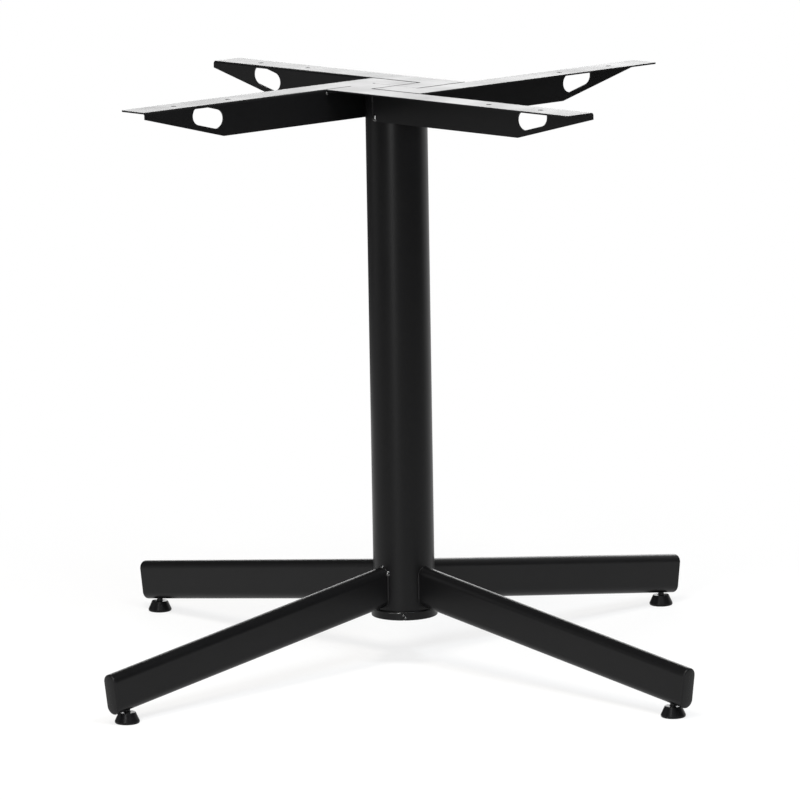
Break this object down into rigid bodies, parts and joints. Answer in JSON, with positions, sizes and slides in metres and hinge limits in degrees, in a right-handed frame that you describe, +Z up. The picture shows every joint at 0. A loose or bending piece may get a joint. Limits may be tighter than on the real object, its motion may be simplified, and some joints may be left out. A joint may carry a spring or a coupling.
{
  "type": "table base",
  "caption": "Pedestal table base: round steel column on four sloping flat-oval legs with screwed levelling feet, and a pinwheel head of folded slotted arms for the table top.",
  "frame": {"origin": "on the floor, under the column's axis", "axes": "+Z up along the column, +X and +Y along two of the four arms and legs"},
  "size_m": [0.977, 0.977, 0.72],
  "materials": {
    "powder_coat": "satin black powder coat with a fine grain",
    "cap_plastic": "moulded black plastic, satin",
    "glide_plastic": "moulded black plastic, half gloss",
    "stem_steel": "blackened steel, rolled thread"
  },
  "bodies": {
    "frame": {"column_tube": "powder_coat", "base_ring": "powder_coat", "ring_weld": "powder_coat", "arm_welds": "powder_coat", "top_arm_1": "powder_coat", "leg_tube_1": "powder_coat", "leg_weld_1": "powder_coat", "foot_bush_1": "powder_coat", "leg_end_cap_1": "cap_plastic", "top_arm_2": "powder_coat", "leg_tube_2": "powder_coat", "leg_weld_2": "powder_coat", "foot_bush_2": "powder_coat", "leg_end_cap_2": "cap_plastic", "top_arm_3": "powder_coat", "leg_tube_3": "powder_coat", "leg_weld_3": "powder_coat", "foot_bush_3": "powder_coat", "leg_end_cap_3": "cap_plastic", "top_arm_4": "powder_coat", "leg_tube_4": "powder_coat", "leg_weld_4": "powder_coat", "foot_bush_4": "powder_coat", "leg_end_cap_4": "cap_plastic"},
    "foot_1": {"foot_stem_1": "stem_steel", "foot_glide_1": "glide_plastic"},
    "foot_2": {"foot_stem_2": "stem_steel", "foot_glide_2": "glide_plastic"},
    "foot_3": {"foot_stem_3": "stem_steel", "foot_glide_3": "glide_plastic"},
    "foot_4": {"foot_stem_4": "stem_steel", "foot_glide_4": "glide_plastic"}
  },
  "joints": [
    {"name": "foot_adjust_1", "type": "slide", "parent": "frame", "child": "foot_1", "axis": [0, 0, -1], "range_m": [-0.0005, 0.01]},
    {"name": "foot_adjust_2", "type": "slide", "parent": "frame", "child": "foot_2", "axis": [0, 0, -1], "range_m": [-0.0005, 0.01]},
    {"name": "foot_adjust_3", "type": "slide", "parent": "frame", "child": "foot_3", "axis": [0, 0, -1], "range_m": [-0.0005, 0.01]},
    {"name": "foot_adjust_4", "type": "slide", "parent": "frame", "child": "foot_4", "axis": [0, 0, -1], "range_m": [-0.0005, 0.01]}
  ]
}
